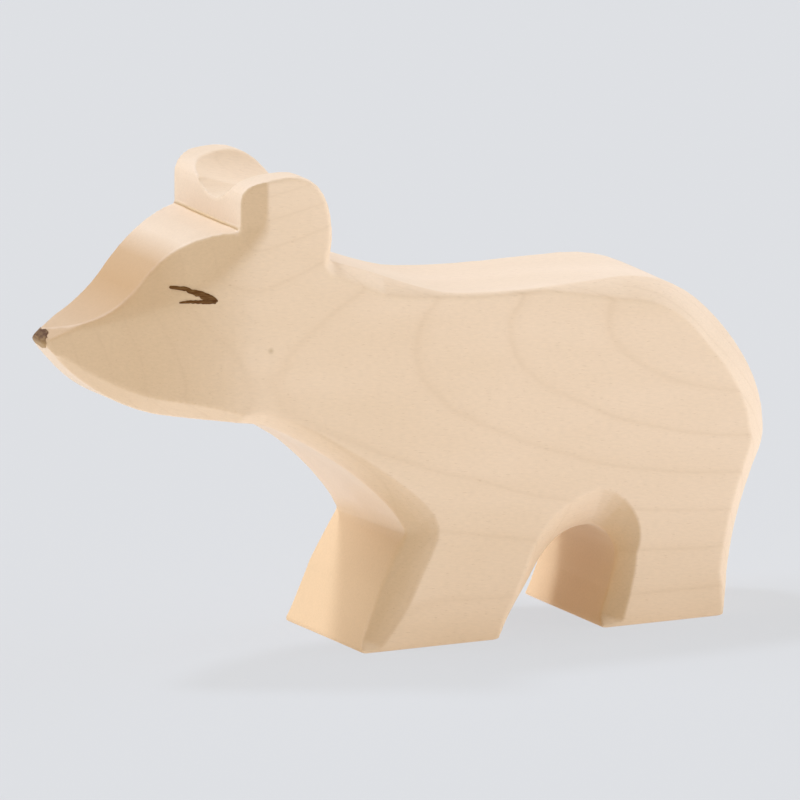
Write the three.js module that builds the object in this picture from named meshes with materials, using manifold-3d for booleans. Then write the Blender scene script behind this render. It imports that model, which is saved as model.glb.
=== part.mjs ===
// A walking polar bear, sawn from one maple board and finished by hand, with painted nose and eyes.
// Millimetres. The bear faces -X, its left side is -Y, +Z is up and its soles stand on Z = 0.
import * as THREE from 'three';
import { mergeVertices } from 'three/addons/utils/BufferGeometryUtils.js';
import Module from 'manifold-3d';

// The board
const BOARD_THICKNESS = 25;

// Side outline, from the front foot round the legs, back and head: X and Z of its turning points
const FRONT_TOE_X = -9.7;
const FRONT_HEEL_X = 12.4;
const ARCH_FRONT_X = 19.2;
const ARCH_FRONT_Z = 9;
const ARCH_CROWN_X = 28.6;
const ARCH_CROWN_Z = 14.4;
const ARCH_BACK_X = 32;
const ARCH_BACK_Z = 10.4;
const HIND_SHIN_X = 30.7;
const HIND_SHIN_Z = 5;
const HIND_TOE_X = 28.6;
const HIND_HEEL_X = 48.2;
const CALF_X = 49.6;
const CALF_Z = 6;
const HOCK_X = 53.4;
const HOCK_Z = 19.5;
const RUMP_X = 56.5;
const RUMP_Z = 27;
const LOIN_X = 49.3;
const LOIN_Z = 42.5;
const CROUP_X = 33;
const CROUP_Z = 50.4;
const SADDLE_X = 20;
const SADDLE_Z = 50.7;
const WITHERS_X = 4;
const WITHERS_Z = 51.5;
const NAPE_X = -5;
const NAPE_Z = 54.5;
const EAR_BACK_X = -13.9;
const EAR_BASE_Z = 57.6;
const EAR_WAIST_Z = 61;
const EAR_TOP_X = -21;
const EAR_TOP_Z = 70.9;
const EAR_FRONT_X = -28;
const EAR_BROW_Z = 67.6;
const FOREHEAD_Z = 63.3;
const STOP_X = -41.6;
const STOP_Z = 56.4;
const SNOUT_X = -54.6;
const SNOUT_Z = 49.8;
const NOSE_X = -55.6;
const NOSE_Z = 49;
const CHIN_X = -54.2;
const CHIN_Z = 46.7;
const JAW_X = -40;
const JAW_Z = 37;
const THROAT_X = -25;
const THROAT_Z = 34.7;
const BREAST_X = -13;
const BREAST_Z = 28.1;
const CREASE_X = -1.5;
const CREASE_Z = 15.3;
const SHIN_X = -5.7;
const SHIN_Z = 8.4;
const INSTEP_Z = 1.8;

// Small rounds at the outline's corners
const SOLE_CORNER = 0.8;
const EAR_CORNER = 0.8;
const SAW_CORNER = 0.3;

// Worn edges: how far each reaches in from the outline, and how far down from the board's face.
// Their shape lies between a flat bevel (0) and a full round (1).
const EDGE_DOME = 0.25;
const EASE = {
  sole: [0.2, 0.2],
  frontInstep: [2.9, 1.4],
  hindInstep: [3, 1.8],
  archFront: [2.8, 3],
  archCrown: [6.2, 4.4],
  archBack: [2.2, 2.2],
  hindShin: [2.6, 2.2],
  calf: [2.1, 2],
  hock: [2.6, 2.4],
  rump: [4.2, 4.2],
  loin: [4.5, 4.4],
  croup: [2.8, 3.4],
  saddle: [0.5, 0.5],
  withers: [0.6, 0.6],
  nape: [2.6, 2.6],
  earBase: [1.8, 1.8],
  earWaist: [0.9, 0.9],
  earTop: [0.3, 0.3],
  earBrow: [0.3, 0.3],
  head: [0.3, 0.3],
  throat: [2.2, 2],
  breast: [2.4, 2.6],
  crease: [4.4, 2.1],
  shin: [4.5, 2.4],
};

// The same on the right side, where it differs
const FAR_EASE = {
  instep: [0.6, 0.5],
  saddle: [3, 4.5],
  withers: [2.6, 3.6],
  crease: [0.8, 0.7],
  shin: [0.6, 0.5],
};

// Cheek cuts: a leaning brow facet, an upright strip in front of each ear and a curved jowl
const BROW_HALF_WIDTH = 6.3;
const BROW_LEAN = 0.45;
const EAR_FRONT_HALF_WIDTH = 10.8;
const EAR_STRIP_LENGTH = 3.5;
const JOWL_X = -24;
const NOSE_HALF_WIDTH = 2.9;
const NOSE_ROUND = 2.2;
const JOWL_BULGE = 2.2;

// Facet that crowns the snout on each side: where it starts on the top edge, and its slopes
const CROWN_X = -49.3;
const CROWN_Z = 50.8;
const CROWN_TAPER = 1.15;
const CROWN_LEAN = 1.33;

// Carved edge under the jaw
const JAW_EDGE_DEPTH = 2;
const JAW_EDGE_RISE = 2.6;
const JAW_EDGE_FADE = 0.5;

// Groove between the ears, and the end of the saw cut in front of them
const EAR_GROOVE_RADIUS = 7.5;
const EAR_GROOVE_Y = -1.5;
const EAR_GROOVE_Z = 74.2;
const KERF_WIDTH = 0.5;
const KERF_DEPTH = 0.8;

// Painted marks: a film that lies just off the wood
const PAINT_GAP = 0.3;
const PAINT_THICKNESS = 0.4;
const NOSE_MARK_RADIUS = 1.9;
const EYE_FRONT_X = -38.3;
const EYE_BACK_X = -32.2;
const EYE_LID_Z = 55.6;
const EYE_CORNER_Z = 53.4;
const EYE_LASH_FRONT_X = -37.2;
const LID_WIDTH = 0.9;
const LASH_WIDTH = 0.6;

// Half width of a brush stroke at its two ends, as a share of its width
const STROKE_START = 0.3;
const STROKE_END = 0.5;

// How finely the surfaces are divided
const CURVE_STEPS = 8;
const CORNER_STEPS = 3;
const EDGE_STEPS = 4;
const ROUND_STEPS = 32;

// How far a cutting solid reaches past what it cuts
const PAST = 6;

const half = BOARD_THICKNESS / 2;
const kernel = await Module();
kernel.setup();

// A closed geometry as a solid that can be joined and cut
function solidFrom(geometry) {
  const bare = geometry.index ? geometry.toNonIndexed() : geometry.clone();
  for (const name of Object.keys(bare.attributes)) {
    if (name !== 'position') bare.deleteAttribute(name);
  }
  const merged = mergeVertices(bare, 1e-4);
  const mesh = new kernel.Mesh({
    numProp: 3,
    vertProperties: merged.attributes.position.array,
    triVerts: new Uint32Array(merged.index.array),
  });
  return new kernel.Manifold(mesh);
}

// A solid as a geometry
function geometryFrom(solid) {
  const mesh = solid.getMesh();
  const geometry = new THREE.BufferGeometry();
  geometry.setAttribute('position', new THREE.BufferAttribute(mesh.vertProperties, 3));
  geometry.setIndex(new THREE.BufferAttribute(mesh.triVerts, 1));
  geometry.computeVertexNormals();
  return geometry;
}

// A skin over rings of points, all with the same count, closed by a flat cap at each end
function closedSkin(rings, capPlane) {
  const count = rings[0].length;
  const index = [];
  for (let r = 0; r + 1 < rings.length; r += 1) {
    for (let i = 0; i < count; i += 1) {
      const a = r * count + i;
      const b = r * count + ((i + 1) % count);
      index.push(a, b, b + count, a, b + count, a + count);
    }
  }
  const last = (rings.length - 1) * count;
  const flat = (ring) => ring.map((point) => new THREE.Vector2(point[capPlane[0]], point[capPlane[1]]));
  for (const [a, b, c] of THREE.ShapeUtils.triangulateShape(flat(rings[0]), [])) {
    index.push(a, c, b);
  }
  for (const [a, b, c] of THREE.ShapeUtils.triangulateShape(flat(rings[rings.length - 1]), [])) {
    index.push(last + a, last + b, last + c);
  }
  const places = rings.flat().flatMap((point) => [point.x, point.y, point.z]);
  const geometry = new THREE.BufferGeometry();
  geometry.setAttribute('position', new THREE.Float32BufferAttribute(places, 3));
  geometry.setIndex(index);
  return geometry;
}

// A turning point of the outline, with its worn edge (ease, and farEase on the right side) and the
// size of its corner (round)
function turn(x, z, ease, { round = 0, farEase = ease } = {}) {
  return { at: new THREE.Vector2(x, z), ease, farEase, round };
}

// The turning points in order, each with the pull of the curve that leaves it (leave) and of the
// curve that arrives at it (arrive), as offsets from the point. A stretch with no pull is straight.
const sole = (x) => turn(x, 0, EASE.sole, { round: SOLE_CORNER });
const frontInstepX = THREE.MathUtils.mapLinear(INSTEP_Z, 0, SHIN_Z, FRONT_TOE_X, SHIN_X);
const hindInstepX = THREE.MathUtils.mapLinear(INSTEP_Z, 0, HIND_SHIN_Z, HIND_TOE_X, HIND_SHIN_X);
const outline = [
  sole(FRONT_TOE_X),
  { ...sole(FRONT_HEEL_X), leave: [2, 3.9] },
  { ...turn(ARCH_FRONT_X, ARCH_FRONT_Z, EASE.archFront), arrive: [-2, -2.8], leave: [2.2, 3.1] },
  { ...turn(ARCH_CROWN_X, ARCH_CROWN_Z, EASE.archCrown), arrive: [-4.6, 0.2], leave: [1.9, -0.1] },
  { ...turn(ARCH_BACK_X, ARCH_BACK_Z, EASE.archBack), arrive: [0.1, 2.2], leave: [-0.1, -2] },
  { ...turn(HIND_SHIN_X, HIND_SHIN_Z, EASE.hindShin, { farEase: FAR_EASE.instep }), arrive: [0.5, 2] },
  turn(hindInstepX, INSTEP_Z, EASE.hindInstep, { farEase: FAR_EASE.instep }),
  sole(HIND_TOE_X),
  { ...sole(HIND_HEEL_X), leave: [0.4, 2] },
  { ...turn(CALF_X, CALF_Z, EASE.calf), arrive: [-0.3, -2], leave: [0.7, 4.6] },
  { ...turn(HOCK_X, HOCK_Z, EASE.hock), arrive: [-1.9, -4.4], leave: [1.2, 2.7] },
  { ...turn(RUMP_X, RUMP_Z, EASE.rump), arrive: [0, -3.4], leave: [0, 4.8] },
  { ...turn(LOIN_X, LOIN_Z, EASE.loin), arrive: [4.4, -5], leave: [-4.6, 5.2] },
  { ...turn(CROUP_X, CROUP_Z, EASE.croup), arrive: [6.8, -0.1], leave: [-5, 0.1] },
  { ...turn(SADDLE_X, SADDLE_Z, EASE.saddle, { farEase: FAR_EASE.saddle }), arrive: [5, 0], leave: [-5, 0] },
  {
    ...turn(WITHERS_X, WITHERS_Z, EASE.withers, { farEase: FAR_EASE.withers }),
    arrive: [4, -0.7],
    leave: [-3, 0.7],
  },
  { ...turn(NAPE_X, NAPE_Z, EASE.nape), arrive: [3.3, -1.3], leave: [-3, 1.2] },
  { ...turn(EAR_BACK_X, EAR_BASE_Z, EASE.earBase, { round: EAR_CORNER }), arrive: [3, -0.9] },
  { ...turn(EAR_BACK_X, EAR_WAIST_Z, EASE.earWaist), leave: [0, 6.4] },
  { ...turn(EAR_TOP_X, EAR_TOP_Z, EASE.earTop), arrive: [4.6, 0], leave: [-4.2, 0] },
  { ...turn(EAR_FRONT_X, EAR_BROW_Z, EASE.earBrow), arrive: [0, 2.6] },
  { ...turn(EAR_FRONT_X, FOREHEAD_Z, EASE.head, { round: SAW_CORNER }), leave: [-6.9, -0.5] },
  { ...turn(STOP_X, STOP_Z, EASE.head), arrive: [3, 3.5], leave: [-3, -3.5] },
  { ...turn(SNOUT_X, SNOUT_Z, EASE.head), arrive: [7.1, 1], leave: [-0.7, -0.1] },
  { ...turn(NOSE_X, NOSE_Z, EASE.head), arrive: [0, 0.5], leave: [0, -0.7] },
  { ...turn(CHIN_X, CHIN_Z, EASE.head), arrive: [-0.8, 1], leave: [2.1, -2.7] },
  { ...turn(JAW_X, JAW_Z, EASE.head), arrive: [-7.5, 2], leave: [4, -0.8] },
  { ...turn(THROAT_X, THROAT_Z, EASE.throat), arrive: [-4, 0.9], leave: [3.4, -1] },
  { ...turn(BREAST_X, BREAST_Z, EASE.breast), arrive: [-3, 2], leave: [3.2, -2.2] },
  {
    ...turn(CREASE_X, CREASE_Z, EASE.crease, { round: SAW_CORNER, farEase: FAR_EASE.crease }),
    arrive: [-1.3, 3.1],
  },
  turn(SHIN_X, SHIN_Z, EASE.shin, { farEase: FAR_EASE.shin }),
  turn(frontInstepX, INSTEP_Z, EASE.frontInstep, { farEase: FAR_EASE.shin }),
];

// The curve from one turning point to the next
function stretch(from, to) {
  if (!from.leave && !to.arrive) return new THREE.LineCurve(from.at, to.at);
  const pull = (point, offset) => point.clone().add(new THREE.Vector2(...(offset ?? [0, 0])));
  return new THREE.CubicBezierCurve(from.at, pull(from.at, from.leave), pull(to.at, to.arrive), to.at);
}

// Points along the outline, each with its outward direction and its easing on both sides
function outlinePoints() {
  const spots = [];
  const put = (at, from, to, share) => {
    const mix = (name) => [0, 1].map((k) => THREE.MathUtils.lerp(from[name][k], to[name][k], share));
    spots.push({ at, near: mix('ease'), far: mix('farEase') });
  };
  outline.forEach((from, i) => {
    const to = outline[(i + 1) % outline.length];
    const after = outline[(i + 2) % outline.length];
    const curve = stretch(from, to);
    const first = from.round / curve.getLength();
    const last = 1 - to.round / curve.getLength();
    const steps = curve.isLineCurve ? 1 : CURVE_STEPS;
    for (let k = 0; k <= steps; k += 1) {
      const share = THREE.MathUtils.lerp(first, last, k / steps);
      if (k < steps || to.round > 0) put(curve.getPointAt(share), from, to, share);
    }
    if (to.round > 0) {
      const next = stretch(to, after);
      const end = next.getPointAt(to.round / next.getLength());
      const corner = new THREE.QuadraticBezierCurve(curve.getPointAt(last), to.at, end);
      for (let k = 1; k < CORNER_STEPS; k += 1) put(corner.getPoint(k / CORNER_STEPS), to, to, 0);
    }
  });
  spots.forEach((spot, i) => {
    const before = spots[(i + spots.length - 1) % spots.length].at;
    const after = spots[(i + 1) % spots.length].at;
    const along = after.clone().sub(before).normalize();
    spot.out = new THREE.Vector2(along.y, -along.x);
  });
  return spots;
}

const spots = outlinePoints();

// The sawn board with its eased edges, grown by skin all over
function sawnBoard(skin) {
  const ring = (side, k) => spots.map((spot) => {
    const [reach, drop] = side < 0 ? spot.near : spot.far;
    const share = k / EDGE_STEPS;
    const angle = share * Math.PI / 2;
    const inward = reach * THREE.MathUtils.lerp(share, 1 - Math.cos(angle), EDGE_DOME);
    const rest = drop * (1 - THREE.MathUtils.lerp(share, Math.sin(angle), EDGE_DOME));
    const flat = spot.at.clone().addScaledVector(spot.out, skin - inward);
    return new THREE.Vector3(flat.x, side * (half + skin - rest), flat.y);
  });
  const rings = [];
  for (let k = EDGE_STEPS; k >= 0; k -= 1) rings.push(ring(1, k));
  for (let k = 0; k <= EDGE_STEPS; k += 1) rings.push(ring(-1, k));
  return solidFrom(closedSkin(rings, ['x', 'z']));
}

// Half the head's width on the brow facet, which runs from the stop to the foot of the ear's front
const browRise = BROW_LEAN * (FOREHEAD_Z - STOP_Z);
const browTaper = (EAR_FRONT_HALF_WIDTH - BROW_HALF_WIDTH + browRise) / (EAR_FRONT_X - STOP_X);
const browHalfWidth = (x, z) => BROW_HALF_WIDTH + browTaper * (x - STOP_X) - BROW_LEAN * (z - STOP_Z);

// Half the head's width on the strip in front of the ear
const stripSlope = (half - EAR_FRONT_HALF_WIDTH) / EAR_STRIP_LENGTH;
const stripHalfWidth = (x) => EAR_FRONT_HALF_WIDTH + stripSlope * (x - EAR_FRONT_X);

// The jowl seen from above: tangent to the board's face at its back end, narrowing to the nose
const jowlEndX = NOSE_X + NOSE_ROUND;
const jowl = new THREE.CubicBezierCurve(
  new THREE.Vector2(JOWL_X, half),
  new THREE.Vector2(JOWL_X - (JOWL_X - jowlEndX) / 4, half),
  new THREE.Vector2((JOWL_X + jowlEndX) / 2, (half + NOSE_HALF_WIDTH) / 2 + JOWL_BULGE),
  new THREE.Vector2(jowlEndX, NOSE_HALF_WIDTH),
);

// The round of the nose tip seen from above, carrying on from the jowl
const jowlEnd = jowl.getTangent(1);
const noseTip = new THREE.QuadraticBezierCurve(
  new THREE.Vector2(jowlEndX, NOSE_HALF_WIDTH),
  new THREE.Vector2(NOSE_X, NOSE_HALF_WIDTH - NOSE_ROUND * jowlEnd.y / jowlEnd.x),
  new THREE.Vector2(NOSE_X, NOSE_HALF_WIDTH - NOSE_ROUND),
);

// Half the head's width on the jowl
function jowlHalfWidth(x) {
  const points = jowl.getPoints(ROUND_STEPS);
  const k = points.findIndex((point) => point.x <= x);
  if (k <= 0) return k === 0 ? half : NOSE_HALF_WIDTH;
  const share = (points[k - 1].x - x) / (points[k - 1].x - points[k].x);
  return THREE.MathUtils.lerp(points[k - 1].y, points[k].y, share);
}

// Half the head's width where nothing but the cheek cuts has been carved
function cheekHalfWidth(x, z) {
  const brow = Math.max(browHalfWidth(x, z), stripHalfWidth(x));
  return Math.min(half, brow, jowlHalfWidth(x));
}

// A block on the outer side of the plane y = side * (width at the point, changing by slopeX and slopeZ)
function outerBlock(side, x, z, width, slopeX, slopeZ, skin) {
  const size = 4 * (RUMP_X - NOSE_X);
  const outward = new THREE.Vector3(-slopeX, side, -slopeZ).normalize();
  const block = new THREE.BoxGeometry(size, size, size);
  block.translate(0, 0, size / 2 + skin);
  const turned = new THREE.Quaternion().setFromUnitVectors(new THREE.Vector3(0, 0, 1), outward);
  block.applyQuaternion(turned);
  block.translate(x, side * width, z);
  return solidFrom(block);
}

// What the brow facet and the ear strip take off one side
function browCut(side, skin) {
  const brow = outerBlock(side, STOP_X, STOP_Z, BROW_HALF_WIDTH, browTaper, -BROW_LEAN, skin);
  const strip = outerBlock(side, EAR_FRONT_X, 0, EAR_FRONT_HALF_WIDTH, stripSlope, 0, skin);
  return brow.intersect(strip);
}

// What the jowl and the round of the nose tip take off one side
function jowlCut(side, skin) {
  const shape = new THREE.Shape();
  const follow = (curve, first, steps) => {
    for (let k = first; k <= steps; k += 1) {
      const point = curve.getPoint(k / steps);
      const along = curve.getTangent(k / steps);
      shape.lineTo(point.x + skin * along.y, side * (point.y - skin * along.x));
    }
  };
  shape.moveTo(JOWL_X, side * (half + skin + PAST));
  follow(jowl, 0, ROUND_STEPS / 2);
  follow(noseTip, 1, CURVE_STEPS);
  shape.lineTo(NOSE_X - PAST, side * (NOSE_HALF_WIDTH - NOSE_ROUND));
  shape.lineTo(NOSE_X - PAST, side * (half + skin + PAST));
  const cut = new THREE.ExtrudeGeometry(shape, { depth: EAR_TOP_Z + 2 * PAST, bevelEnabled: false });
  cut.translate(0, 0, -PAST);
  return solidFrom(cut);
}

// What the facet beside the crown of the snout takes off one side
function crownCut(side, skin) {
  const width = jowlHalfWidth(CROWN_X);
  const facet = outerBlock(side, CROWN_X, CROWN_Z, width, CROWN_TAPER, -CROWN_LEAN, skin);
  const reach = STOP_X - NOSE_X + PAST;
  const tip = new THREE.BoxGeometry(reach, BOARD_THICKNESS, 2 * (STOP_Z - CHIN_Z));
  tip.translate(STOP_X - reach / 2, 0, STOP_Z);
  return facet.intersect(solidFrom(tip));
}

// What the carved edge under the jaw takes off one side
function jawCut(side, skin) {
  const slope = JAW_EDGE_RISE / JAW_EDGE_DEPTH;
  const first = spots.findIndex((spot) => spot.at.distanceTo(new THREE.Vector2(CHIN_X, CHIN_Z)) < 1e-6);
  const last = spots.findIndex((spot) => spot.at.distanceTo(new THREE.Vector2(THROAT_X, THROAT_Z)) < 1e-6);
  const rings = spots.slice(first, last + 1).map((spot, i, all) => {
    const fade = Math.sin(Math.PI * i / (all.length - 1)) ** JAW_EDGE_FADE;
    const inner = cheekHalfWidth(spot.at.x, spot.at.y) - JAW_EDGE_DEPTH * fade + skin;
    const place = (y, z) => new THREE.Vector3(spot.at.x, side * y, z);
    const low = spot.at.y - skin;
    return [
      place(inner - 1, low - slope),
      place(inner + PAST, low - slope),
      place(inner + PAST, low + PAST * slope),
    ];
  });
  if (side < 0) rings.forEach((ring) => ring.reverse());
  return solidFrom(closedSkin(rings, ['y', 'z']));
}

// The groove between the ears
function earGroove(skin) {
  const length = EAR_BACK_X - EAR_FRONT_X + 2 * PAST;
  const radius = EAR_GROOVE_RADIUS - skin;
  const groove = new THREE.CylinderGeometry(radius, radius, length, ROUND_STEPS);
  groove.rotateZ(Math.PI / 2);
  groove.translate((EAR_BACK_X + EAR_FRONT_X) / 2, EAR_GROOVE_Y, EAR_GROOVE_Z);
  return solidFrom(groove);
}

// The end of the saw cut at the foot of the ears
function kerf() {
  const slot = new THREE.BoxGeometry(KERF_WIDTH, BOARD_THICKNESS + 2 * PAST, 2 * KERF_DEPTH);
  slot.translate(EAR_FRONT_X - KERF_WIDTH / 2, 0, FOREHEAD_Z);
  return solidFrom(slot);
}

// The carved bear, grown by skin all over
function carvedBear(skin) {
  let bear = sawnBoard(skin).subtract(earGroove(skin));
  for (const side of [-1, 1]) {
    bear = bear.subtract(browCut(side, skin));
    bear = bear.subtract(jowlCut(side, skin));
    bear = bear.subtract(crownCut(side, skin));
    bear = bear.subtract(jawCut(side, skin));
  }
  return bear;
}

// A film of paint over the part of the bear that lies inside a region
const paintBack = carvedBear(PAINT_GAP);
const paintFront = carvedBear(PAINT_GAP + PAINT_THICKNESS);
const paintFilm = (region) => paintFront.intersect(region).subtract(paintBack);

// A brush stroke seen from the side: a curve with a width that swells from its thin end
function brushStroke(curve, width) {
  const upper = [];
  const lower = [];
  for (let k = 0; k <= CURVE_STEPS; k += 1) {
    const share = k / CURVE_STEPS;
    const point = curve.getPoint(share);
    const across = curve.getTangent(share).rotateAround(new THREE.Vector2(), Math.PI / 2);
    const swell = width * THREE.MathUtils.lerp(STROKE_START, STROKE_END, share);
    upper.push(point.clone().addScaledVector(across, swell));
    lower.unshift(point.clone().addScaledVector(across, -swell));
  }
  return new THREE.Shape([...upper, ...lower]);
}

// The space of one closed eye: a drooping lid line and a straight lash line that meet at the back
function eyeRegion(side) {
  const front = new THREE.Vector2(EYE_FRONT_X, EYE_LID_Z);
  const back = new THREE.Vector2(EYE_BACK_X, EYE_CORNER_Z);
  const droop = new THREE.Vector2((EYE_FRONT_X + 2 * EYE_BACK_X) / 3, EYE_LID_Z - LID_WIDTH / 2);
  const lid = brushStroke(new THREE.QuadraticBezierCurve(front, droop, back), LID_WIDTH);
  const lashFront = new THREE.Vector2(EYE_LASH_FRONT_X, EYE_CORNER_Z);
  const lash = brushStroke(new THREE.LineCurve(lashFront, back), LASH_WIDTH);
  const strokes = [lid, lash].map((shape) => {
    const block = new THREE.ExtrudeGeometry(shape, { depth: BOARD_THICKNESS, bevelEnabled: false });
    block.rotateX(Math.PI / 2);
    block.translate(0, side < 0 ? 0 : BOARD_THICKNESS, 0);
    return solidFrom(block);
  });
  return strokes[0].add(strokes[1]);
}

// The space of the dab on the nose
function noseRegion() {
  const ball = new THREE.SphereGeometry(NOSE_MARK_RADIUS, ROUND_STEPS, ROUND_STEPS / 2);
  ball.translate(NOSE_X, 0, NOSE_Z);
  return solidFrom(ball);
}

const maple = { color: '#e6cda9', roughness: 0.72, metalness: 0 };
const paint = { color: '#4b382b', roughness: 0.6, metalness: 0 };
const nosePaint = { color: '#5c463c', roughness: 0.6, metalness: 0 };

function piece(name, solid, finish) {
  const mesh = new THREE.Mesh(geometryFrom(solid), new THREE.MeshStandardMaterial(finish));
  mesh.name = name;
  return mesh;
}

const polarBear = new THREE.Group();
polarBear.add(piece('bear_body', carvedBear(0).subtract(kerf()), maple));
polarBear.add(piece('nose_mark', paintFilm(noseRegion()), nosePaint));
polarBear.add(piece('left_eye_mark', paintFilm(eyeRegion(-1)), paint));
polarBear.add(piece('right_eye_mark', paintFilm(eyeRegion(1)), paint));

// The origin lies under the middle of the bear's length
const extent = new THREE.Box3().setFromObject(polarBear);
polarBear.position.x = -(extent.min.x + extent.max.x) / 2;

export default polarBear;
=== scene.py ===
"""A walking polar bear carved from a maple board, with painted nose and eyes, on a pale studio floor.

The carving is refined from the sawn solid in the frame, the painted marks are laid on it, and soft
studio lamps light it on a pale floor.
"""

import logging
import math
from collections.abc import Callable
from dataclasses import dataclass, field
from enum import Enum

import bpy
from bpy.types import Material, Node, NodeSocket, NodeTree, Object
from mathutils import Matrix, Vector, noise


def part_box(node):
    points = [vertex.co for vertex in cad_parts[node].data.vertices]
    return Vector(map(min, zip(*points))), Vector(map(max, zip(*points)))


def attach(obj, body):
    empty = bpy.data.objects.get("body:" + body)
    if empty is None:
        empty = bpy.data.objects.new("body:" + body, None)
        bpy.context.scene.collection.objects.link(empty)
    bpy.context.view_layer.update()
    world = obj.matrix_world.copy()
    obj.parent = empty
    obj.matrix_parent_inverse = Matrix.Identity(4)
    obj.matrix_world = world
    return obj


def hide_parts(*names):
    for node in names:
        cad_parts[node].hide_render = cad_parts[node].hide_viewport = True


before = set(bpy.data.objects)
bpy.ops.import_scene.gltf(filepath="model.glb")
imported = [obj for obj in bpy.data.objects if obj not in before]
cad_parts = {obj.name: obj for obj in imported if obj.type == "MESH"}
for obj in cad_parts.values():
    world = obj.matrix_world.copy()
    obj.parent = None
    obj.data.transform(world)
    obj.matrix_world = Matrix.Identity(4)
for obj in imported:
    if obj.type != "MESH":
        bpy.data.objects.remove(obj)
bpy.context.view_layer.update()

LOG = logging.getLogger("polar_bear")
MM = 0.001
BODY = "root"

# A colour is as seen on a screen, 0 to 255. A ramp's stops are places and levels, 0 to 1.
Colour = tuple[int, int, int]
Triple = tuple[float, float, float]
Stops = tuple[tuple[float, float], ...]

# A fade is two places in millimetres: a tool's work starts at the first and is full at the second.
Fade = tuple[float, float]


class Slot(Enum):
    """The record's material slots."""

    MAPLE = "maple"
    NOSE_PAINT = "nose_paint"
    EYE_PAINT = "eye_paint"


class Side(Enum):
    """The bear's two sides, with the sign of Y on each."""

    LEFT = -1
    RIGHT = 1


def light_of(level: int) -> float:
    """Turn one channel of a colour as seen on a screen into the light it stands for.

    Args:
        level: The channel's level, 0 to 255.

    Returns:
        The light, 0 to 1.
    """
    share = level / 255
    return share / 12.92 if share <= 0.04045 else ((share + 0.055) / 1.055) ** 2.4


def linear(red: int, green: int, blue: int) -> tuple[float, float, float, float]:
    """Turn a colour as seen on a screen into the light it stands for.

    Args:
        red: Red, 0 to 255.
        green: Green, 0 to 255.
        blue: Blue, 0 to 255.

    Returns:
        The linear colour, opaque.
    """
    return light_of(red), light_of(green), light_of(blue), 1.0


def smooth_step(low: float, high: float, value: float) -> float:
    """Ease from 0 at low to 1 at high.

    Args:
        low: Where the easing starts.
        high: Where it ends.
        value: The value to ease.

    Returns:
        A share from 0 to 1.
    """
    share = min(1.0, max(0.0, (value - low) / (high - low)))
    return share * share * (3 - 2 * share)


@dataclass(frozen=True)
class Pattern:
    """A noise: its repeats per millimetre along each axis, and how fine its detail goes."""

    repeats: Triple
    detail: float


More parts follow.
